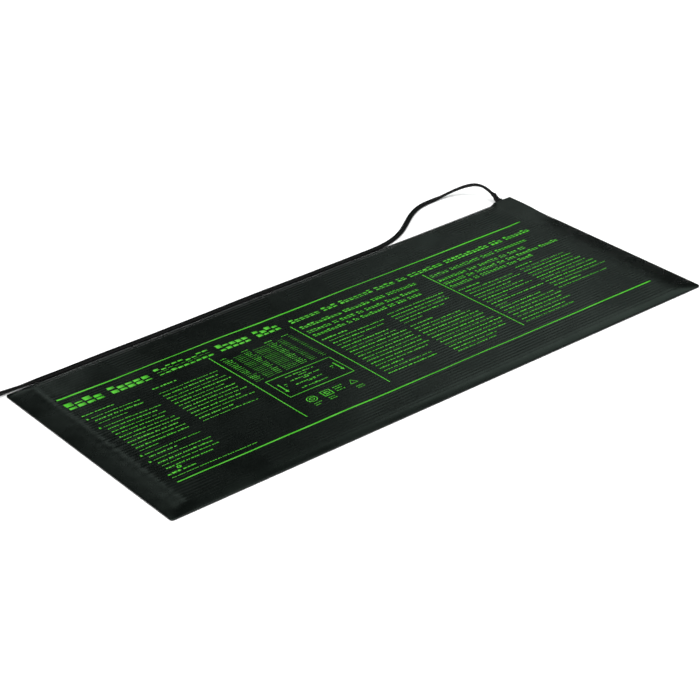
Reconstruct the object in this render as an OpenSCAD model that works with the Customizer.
// Seedling heat mat with a two-core supply cord and a two-pin plug.
// Millimetres. +X runs along the long sides, +Y to the side that the cord
// leaves, +Z up. The origin is under the middle of the mat, on the surface
// that it lies on.

/* [Mat] */
// Length of the mat along X
mat_l = 495.3; // [485:0.1:505]
// Width of the mat along Y
mat_w = 225.4; // [220:0.1:230]
// Radius of the four corners of the mat
corner_r = 2.5; // [2:0.5:4]
// Width of the flat welded border at the two short ends
end_border = 19; // [18:0.5:20]
// Width of the flat welded border along the two long sides
side_border = 5; // [4:0.5:6]
// Horizontal run of the slope from the border up to the padded field
slope_run = 4; // [3:0.5:4]

/* [Layers] */
// Thickness of the bottom cover
base_t = 0.6; // [0.5:0.1:0.7]
// Thickness of the ribbed top cover
cover_t = 0.7; // [0.6:0.1:0.8]
// Thickness of the foam under the heater
foam_t = 1.3; // [1.2:0.1:1.5]
// Thickness of the film that carries the heating wire
film_t = 0.15; // [0.1:0.05:0.2]
// Thickness of the aluminium foil over the heating wire
foil_t = 0.15; // [0.1:0.05:0.2]

/* [Heating wire] */
// Diameter of the heating wire with its insulation
wire_d = 1; // [0.8:0.1:1.1]
// Number of straight runs, always even
run_count = 14; // [10:2:14]
// Distance between neighbouring runs
run_pitch = 14; // [12:1:14]
// Half the length of a straight run
run_half = 205; // [190:1:205]

/* [Corner pocket] */
// Size of the raised corner pocket along X
pocket_l = 25; // [24:0.5:26]
// Size of the raised corner pocket along Y
pocket_w = 32; // [31:0.5:34]
// Height of the top of the pocket
pocket_top = 5.2; // [5.1:0.1:5.6]
// Horizontal run of the pocket's sloped walls
pocket_run = 2.5; // [2:0.1:2.7]
// Radius of the pocket's corners
pocket_r = 4; // [4:0.5:7]
// Wall thickness of the splice block inside the pocket
block_wall = 0.8; // [0.6:0.1:1]

/* [Cord] */
// Width of the flat two-core cord
cord_w = 4.8; // [4.6:0.1:5]
// Thickness of the flat two-core cord
cord_t = 2.4; // [2.2:0.1:2.5]
// Width of the strain relief where it leaves the pocket
boot_w = 6; // [5.6:0.1:6.4]
// Height of the strain relief where it leaves the pocket
boot_h = 3.4; // [3.2:0.1:3.4]
// Centre line radius of the outermost turn of the stored coil
coil_r_out = 30; // [29.5:0.1:30.5]
// Centre line radius of the innermost turn of the stored coil
coil_r_in = 21; // [20:0.1:21.5]

/* [Plug] */
// Width of the plug body across its blades
plug_w = 21; // [20:0.5:23]
// Thickness of the plug body
plug_t = 12; // [11.5:0.1:12]
// Length of the plug body in front of its tapered neck
plug_l = 24; // [22:1:24]
// Distance between the middles of the two blades
blade_gap = 12.7; // [12.7:0.1:12.7]
// Length of a blade outside the plug body
blade_l = 16.5; // [15.9:0.1:18]
// Thickness of a blade
blade_t = 1.5; // [1.4:0.1:1.6]

/* [Hidden] */
$fn = 48;

// heights of the layers
film_z = base_t + foam_t;
wire_z = film_z + film_t + wire_d / 2;
foil_z = film_z + film_t + wire_d;
cover_under = foil_z + foil_t;
mat_top = cover_under + cover_t;

// outline of the padded field inside the welded border
field_l = mat_l - 2 * end_border;
field_w = mat_w - 2 * side_border;
field_r = 10;
// the flat layers stop short of the foot of the slope
layer_l = field_l - 2 * (slope_run + 1.6);
layer_w = field_w - 2 * (slope_run + 1.2);
layer_r = 5;
run_edge = run_pitch * (run_count - 1) / 2;
wire_end = run_half + run_pitch / 2;

// the pocket fills the back right corner of the mat
corner = [mat_l / 2, mat_w / 2, 0];
pocket_at = [corner[0] - pocket_l / 2, corner[1] - pocket_w / 2, base_t];

// the splice block stands in the pocket, split at the height of the wire
block_l = 16.8;
block_w = 24.4;
block_r = 2;
block_at = [corner[0] - 12, corner[1] - 16, 0];
block_back = block_at[1] + block_w / 2;
block_top = pocket_top - cover_t - 0.1;
block_floor = 0.6;

// the cord enters the block through its back wall
cord_x = corner[0] - 12.9;
core_gap = cord_t;
line_x = cord_x - core_gap / 2;
neutral_x = cord_x + core_gap / 2;
flange_y = corner[1] - 9.7;
splice_y = corner[1] - 18.7;
splice_l = 7;
splice_d = 1.8;
conductor_d = 0.96;
// the two leads leave the block towards the field
line_lead_y = run_edge;
neutral_lead_y = run_edge - 3.5;
lead_turn_x = wire_end + 6;
lead_r = 2;

// Route of the cord from the strain relief, as offsets from the back right
// corner of the mat: up, over a low arch, down, and back against the mat
arch_route = [
    [-13.3, 9.2, 7.1], [-13.9, 14.3, 9.2], [-14.5, 19.3, 10.4],
    [-15.7, 24.3, 10.6], [-17.7, 29.3, 9.9], [-21.2, 33.8, 8.4],
    [-25.7, 37.5, 6.6], [-31.2, 40.5, 4.6], [-37.7, 42.5, 2.8],
    [-44.7, 43.4, 1.6], [-52.7, 43.4, 1.2], [-60.7, 42.8, 1.2],
    [-68.7, 40.9, 1.2], [-76.7, 37.3, 1.2], [-84.7, 32.3, 1.2],
    [-92.7, 26.3, 1.2], [-100.7, 20.1, 1.2], [-109.7, 13.9, 1.2],
    [-119.7, 8.7, 1.2], [-130.7, 5.1, 1.2], [-142.7, 3.3, 1.2]];
// ... and then beside the long edge, as offsets from the back left corner
edge_route = [
    [335, 2.9, 1.2], [310, 2.9, 1.2], [270, 3.1, 1.2], [225, 3.6, 1.2],
    [180, 3, 1.2], [130, 2.9, 1.2], [85, 3.4, 1.2], [50, 3, 1.3],
    [20, 2.9, 1.8], [-5, 2.9, 2.6], [-22, 2.9, 3.1], [-28, 2.9, 3.1]];
left_corner = [-mat_l / 2, mat_w / 2, 0];
cord_route = concat([for (p = arch_route) corner + p],
    [for (p = edge_route) left_corner + p]);

// the coil lies just past the left end, its outer turn in line with the cord
coil_lift = 0.7;
coil_layer = cord_w + 0.05;
coil_stub = 14;
coil_at = [left_corner[0] - 28 - coil_stub, left_corner[1] + 2.9 + coil_r_out, 0];
coil_outer = coil_r_out + cord_t / 2;
coil_inner = coil_r_in - cord_t / 2;
coil_top = coil_lift + 2 * coil_layer;
tie_w = 5;
tie_t = 0.65;

// Route of the cord from the coil to the plug, as offsets from the coil's
// centre: half a circle that comes down to the surface on its way
tail_start_z = coil_lift + 1.5 * coil_layer;
plug_x = -coil_r_out - 41;
neck_y = 16.5;
tail_route = [for (p = [
    [-coil_r_out, coil_stub, tail_start_z], [-coil_r_out, 17, tail_start_z],
    [-coil_r_out - 0.3, 26, 7], [-coil_r_out - 3, 36, 5],
    [-coil_r_out - 10.4, 44.3, 3], [-coil_r_out - 20.5, 47, 1.7],
    [-coil_r_out - 30.6, 44.3, 1.4], [-coil_r_out - 38, 37, 2.4],
    [plug_x + 0.3, 27, 4.7], [plug_x, neck_y + 3, plug_t / 2],
    [plug_x, neck_y, plug_t / 2]]) coil_at + p];
plug_at = coil_at + [plug_x, neck_y, plug_t / 2];
neck_l = 14;
front_y = -neck_l - plug_l;
line_blade_w = 6.35;
neutral_blade_w = 7.94;
blade_root = 8;
blade_hole_d = 3.1;
crimp_d = 3.2;
crimp_l = 7;
bridge_size = [18, 4, 9.6];

vinyl = [0.13, 0.15, 0.14];
black = [0.07, 0.07, 0.07];

function unit(v) = v / norm(v);
// direction of a route at one of its points
function heading(p, i) =
    unit(p[min(i + 1, len(p) - 1)] - p[max(i - 1, 0)]);
// one eight-sided ring of the flat cord, lying across the route
function ring(p, i, w, t) =
    let (along = heading(p, i), side = unit(cross([0, 0, 1], along)),
        up = cross(along, side))
    [for (k = [0:7]) p[i] + side * cos(45 * k) * w / 2 + up * sin(45 * k) * t / 2];

// a flat tube swept along a list of points
module swept(p, w, t) {
    n = len(p);
    polyhedron(
        points = [for (i = [0:n - 1]) each ring(p, i, w, t)],
        faces = concat([[for (k = [0:7]) k]],
            [[for (k = [7:-1:0]) (n - 1) * 8 + k]],
            [for (i = [0:n - 2], k = [0:7]) each [
                [i * 8 + k, (i + 1) * 8 + k, i * 8 + (k + 1) % 8],
                [i * 8 + (k + 1) % 8, (i + 1) * 8 + k, (i + 1) * 8 + (k + 1) % 8]]]));
}

// turns the children's +Z along a direction, keeping their Y level
module aimed(v) {
    rotate([0, acos(unit(v)[2]), atan2(v[1], v[0])]) children();
}

// flat oval bar of a height along +Z, wide along Y
module oval(w, t, h) {
    linear_extrude(h) {
        square([t, w - t], center = true);
        for (s = [-1, 1]) translate([0, s * (w - t) / 2]) circle(d = t);
    }
}

// places the children at the centres of the four corner arcs
module at_corners(l, w, r) {
    for (sx = [-1, 1], sy = [-1, 1])
        translate([sx * (l / 2 - r), sy * (w / 2 - r), 0]) children();
}

// flat plate with round corners
module plate(l, w, r, h) {
    linear_extrude(h) {
        square([l - 2 * r, w], center = true);
        square([l, w - 2 * r], center = true);
        at_corners(l, w, r) circle(r);
    }
}

// plate with sloped sides and round corners
module mound(l, w, r, run, h) {
    rotate([90, 0, 90]) translate([0, 0, r - l / 2]) linear_extrude(l - 2 * r)
        polygon([[-w / 2, 0], [w / 2, 0], [w / 2 - run, h], [run - w / 2, h]]);
    rotate([90, 0, 0]) translate([0, 0, r - w / 2]) linear_extrude(w - 2 * r)
        polygon([[-l / 2, 0], [l / 2, 0], [l / 2 - run, h], [run - l / 2, h]]);
    at_corners(l, w, r) cylinder(r1 = r, r2 = r - run, h = h);
}

// the space under the top cover, with a little skirt below it
module hollow(l, w, r, run, h) {
    mound(l, w, r, run, h);
    translate([0, 0, -1]) plate(l, w, r, 1);
}

module tube(outer, inner, l) {
    difference() {
        cylinder(d = outer, h = l);
        translate([0, 0, -1]) cylinder(d = inner, h = l + 2);
    }
}

// round wire through a list of points, each leg along X or Y
module wire(p, d, r) {
    n = len(p);
    for (i = [0:n - 2]) {
        step = unit(p[i + 1] - p[i]);
        a = p[i] + (i > 0 ? step * r : [0, 0]);
        b = p[i + 1] - (i < n - 2 ? step * r : [0, 0]);
        translate([a[0], a[1], 0]) aimed([step[0], step[1], 0])
            cylinder(d = d, h = norm(b - a));
    }
    for (i = [1:1:n - 2]) {
        into = unit(p[i] - p[i - 1]);
        out = unit(p[i + 1] - p[i]);
        centre = p[i] + (out - into) * r;
        from = into[0] * out[1] - into[1] * out[0] > 0 ? -out : into;
        translate([centre[0], centre[1], 0])
            rotate([0, 0, atan2(from[1], from[0])])
                rotate_extrude(angle = 90) translate([r, 0]) circle(d = d);
    }
}

module bottom_cover() {
    color(vinyl) plate(mat_l, mat_w, corner_r, base_t);
}

module insulation_pad() {
    color("gainsboro") translate([0, 0, base_t])
        plate(layer_l, layer_w, layer_r, foam_t);
}

module carrier_film() {
    color("lightyellow") translate([0, 0, film_z])
        plate(layer_l, layer_w, layer_r, film_t);
}

// one wire laid to and fro, both ends at the right
module heating_wire() {
    color("firebrick") translate([0, 0, wire_z]) {
        for (i = [0:run_count - 1]) {
            last = i == 0 || i == run_count - 1;
            translate([-run_half, i * run_pitch - run_edge, 0]) aimed([1, 0, 0])
                cylinder(d = wire_d, h = 2 * run_half + (last ? run_pitch / 2 : 0));
        }
        for (i = [0:run_count - 2]) {
            side = i % 2 == 0 ? -1 : 1;
            translate([side * run_half, (i + 0.5) * run_pitch - run_edge, 0])
                rotate([0, 0, side > 0 ? -90 : 90])
                    rotate_extrude(angle = 180) translate([run_pitch / 2, 0])
                        circle(d = wire_d);
        }
    }
}

module heat_spreader_foil() {
    color("silver") translate([0, 0, foil_z])
        plate(2 * wire_end + 2, layer_w, layer_r, foil_t);
}

// welded border, padded field and the raised pocket in one formed sheet
module top_cover() {
    color(vinyl) difference() {
        translate([0, 0, base_t]) {
            plate(mat_l, mat_w, corner_r, cover_t);
            mound(field_l, field_w, field_r, slope_run, mat_top - base_t);
            translate(pocket_at - [0, 0, base_t])
                mound(pocket_l, pocket_w, pocket_r, pocket_run, pocket_top - base_t);
        }
        translate([0, 0, base_t]) {
            hollow(field_l - 2 * cover_t, field_w - 2 * cover_t, field_r - cover_t,
                slope_run, cover_under - base_t);
            translate(pocket_at - [0, 0, base_t])
                hollow(pocket_l - 2 * cover_t, pocket_w - 2 * cover_t,
                    pocket_r - cover_t, pocket_run, pocket_top - cover_t - base_t);
        }
        // way for the two leads where the slopes meet
        translate([corner[0] - 26, neutral_lead_y - 1.5, base_t])
            cube([6, line_lead_y - neutral_lead_y + 3, cover_under - base_t]);
        // slot for the strain relief
        translate([cord_x, block_back - 1, wire_z]) aimed([0, 1, 0])
            oval(boot_w + 0.1, boot_h + 0.1, 10);
    }
}

// half of the splice block: a tray whose rim is at the height of the wire
module block_half(h) {
    difference() {
        plate(block_l, block_w, block_r, h);
        translate([0, 0, block_floor])
            plate(block_l - 2 * block_wall, block_w - 2 * block_wall,
                block_r - block_wall, h);
    }
}

// what passes through the walls of the splice block
module block_ways() {
    translate([cord_x, block_back - 2, wire_z]) aimed([0, 1, 0])
        oval(cord_w + 0.6, cord_t + 0.4, 4);
    for (y = [line_lead_y, neutral_lead_y])
        translate([block_at[0] - block_l / 2 - 1, y, wire_z]) aimed([1, 0, 0])
            cylinder(d = wire_d + 0.1, h = block_wall + 2);
}

module terminal_base() {
    color("ivory") difference() {
        translate([block_at[0], block_at[1], base_t]) block_half(wire_z - base_t);
        block_ways();
    }
}

module terminal_lid() {
    color("ivory") difference() {
        translate([block_at[0], block_at[1], block_top]) rotate([180, 0, 0])
            block_half(block_top - wire_z);
        block_ways();
    }
}

// crimped sleeve that joins a cord conductor to a lead
module splice(x) {
    color("silver") translate([x, splice_y, wire_z]) aimed([0, 1, 0])
        tube(splice_d, wire_d, splice_l);
}

module line_splice() { splice(line_x); }

module neutral_splice() { splice(neutral_x); }

module line_cold_lead() {
    color("black") translate([0, 0, wire_z])
        wire([[wire_end, line_lead_y], [line_x, line_lead_y], [line_x, splice_y + 3]],
            conductor_d, lead_r);
}

module neutral_cold_lead() {
    color("white") translate([0, 0, wire_z])
        wire([[wire_end, -run_edge], [lead_turn_x, -run_edge],
            [lead_turn_x, neutral_lead_y], [neutral_x, neutral_lead_y],
            [neutral_x, splice_y + 3]], conductor_d, lead_r);
}

// stripped end of one core of the cord
module conductor(x) {
    color("chocolate") translate([x, splice_y + 4, wire_z]) aimed([0, 1, 0])
        cylinder(d = conductor_d, h = flange_y - splice_y - 4);
}

module line_conductor() { conductor(line_x); }

module neutral_conductor() { conductor(neutral_x); }

// moulded sleeve: a flange held in the block, and a tapered boot outside
module strain_relief() {
    tip = cord_route[0];
    color(black) {
        translate([cord_x - 4, flange_y, wire_z - 1.25])
            cube([8, block_back - block_wall - flange_y, 2.5]);
        translate([cord_x, block_back - block_wall, wire_z]) aimed([0, 1, 0])
            oval(cord_w + 0.5, cord_t + 0.3, block_wall);
        translate([cord_x, block_back, wire_z]) aimed([0, 1, 0])
            oval(boot_w, boot_h, corner[1] - block_back);
        hull() {
            translate([cord_x, corner[1], wire_z]) aimed([0, 1, 0])
                oval(boot_w, boot_h, 0.01);
            translate(tip) aimed(cord_route[1] - tip) translate([0, 0, -0.01])
                oval(cord_w + 0.5, cord_t + 0.5, 0.01);
        }
    }
}

module cord() {
    color(black) swept(cord_route, cord_w, cord_t);
}

// outer shape of the wound cord, with a stub where the cord goes in and out
module cord_coil() {
    edge = 0.8;
    color(black) {
        translate(coil_at) rotate_extrude()
            polygon([[coil_inner + edge, coil_lift], [coil_outer - edge, coil_lift],
                [coil_outer, coil_lift + edge], [coil_outer, coil_top - edge],
                [coil_outer - edge, coil_top], [coil_inner + edge, coil_top],
                [coil_inner, coil_top - edge], [coil_inner, coil_lift + edge]]);
        translate(coil_at + [0, -coil_r_out - cord_t / 2, coil_lift])
            cube([coil_stub, cord_t, coil_layer]);
        translate(coil_at + [-coil_r_out - cord_t / 2, 0, coil_lift + coil_layer])
            cube([cord_t, coil_stub, coil_layer]);
    }
}

// twist tie: a band round the bundle and its twisted ends on top
module coil_tie() {
    gap = 0.15;
    low = coil_inner - gap - 0.2;
    span = coil_outer + gap - low;
    color(black) {
        difference() {
            translate(coil_at + [-tie_w / 2, low - tie_t, 0])
                cube([tie_w, span + 2 * tie_t, coil_top + tie_t + 0.05]);
            translate(coil_at + [-tie_w, low, tie_t])
                cube([2 * tie_w, span, coil_top - tie_t + 0.05]);
        }
        translate(coil_at + [-6, low + span / 2, coil_top + tie_t + 0.7])
            aimed([1, 0, 0]) cylinder(d = 1.4, h = 12);
    }
}

module cord_tail() {
    color(black) swept(tail_route, cord_w, cord_t);
}

// one blade of the plug, standing on edge, with the hole near its tip
module blade(side, w) {
    color("silver") difference() {
        translate(plug_at + [side * blade_gap / 2 - blade_t / 2, front_y - blade_l, -w / 2])
            cube([blade_t, blade_l + blade_root, w]);
        translate(plug_at + [side * blade_gap / 2 - blade_t, front_y - blade_l + 4.5, 0])
            aimed([1, 0, 0]) cylinder(d = blade_hole_d, h = 2 * blade_t);
    }
}

module line_blade() { blade(-1, line_blade_w); }

module neutral_blade() { blade(1, neutral_blade_w); }

// room that the two blades take up in what holds them
module blade_room() {
    for (b = [[-1, line_blade_w], [1, neutral_blade_w]])
        translate(plug_at + [b[0] * blade_gap / 2 - blade_t / 2, front_y - 1, -b[1] / 2])
            cube([blade_t, blade_root + 1, b[1]]);
}

module bridge_block() {
    translate(plug_at + [-bridge_size[0] / 2, front_y + 1.5, -bridge_size[2] / 2])
        cube(bridge_size);
}

module plug_bridge() {
    color("ivory") difference() {
        bridge_block();
        blade_room();
    }
}

// crimped barrel on the back of a blade
module plug_crimp(side, inner) {
    color("silver") translate(plug_at + [side * blade_gap / 2, front_y + blade_root, 0])
        aimed([0, 1, 0]) tube(crimp_d, inner, crimp_l);
}

module line_plug_crimp() { plug_crimp(-1, 1.4); }

module neutral_plug_crimp() { plug_crimp(1, 1.4); }

// moulded body with a neck that tapers to the cord
module plug_body() {
    color(black) difference() {
        union() {
            translate(plug_at + [0, front_y, 0]) aimed([0, 1, 0])
                plate(plug_t, plug_w, 3, plug_l);
            hull() {
                translate(plug_at + [0, -neck_l, 0]) aimed([0, 1, 0])
                    oval(plug_w - 5, plug_t - 3, 0.01);
                translate(plug_at - [0, 0.01, 0]) aimed([0, 1, 0])
                    oval(cord_w + 1.2, cord_t + 1.2, 0.01);
            }
        }
        blade_room();
        bridge_block();
        for (s = [-1, 1])
            translate(plug_at + [s * blade_gap / 2, front_y + blade_root, 0])
                aimed([0, 1, 0]) cylinder(d = crimp_d, h = crimp_l);
    }
}

bottom_cover();
insulation_pad();
carrier_film();
heating_wire();
heat_spreader_foil();
top_cover();
terminal_base();
terminal_lid();
line_splice();
neutral_splice();
line_cold_lead();
neutral_cold_lead();
line_conductor();
neutral_conductor();
strain_relief();
cord();
cord_coil();
coil_tie();
cord_tail();
plug_body();
plug_bridge();
line_blade();
neutral_blade();
line_plug_crimp();
neutral_plug_crimp();
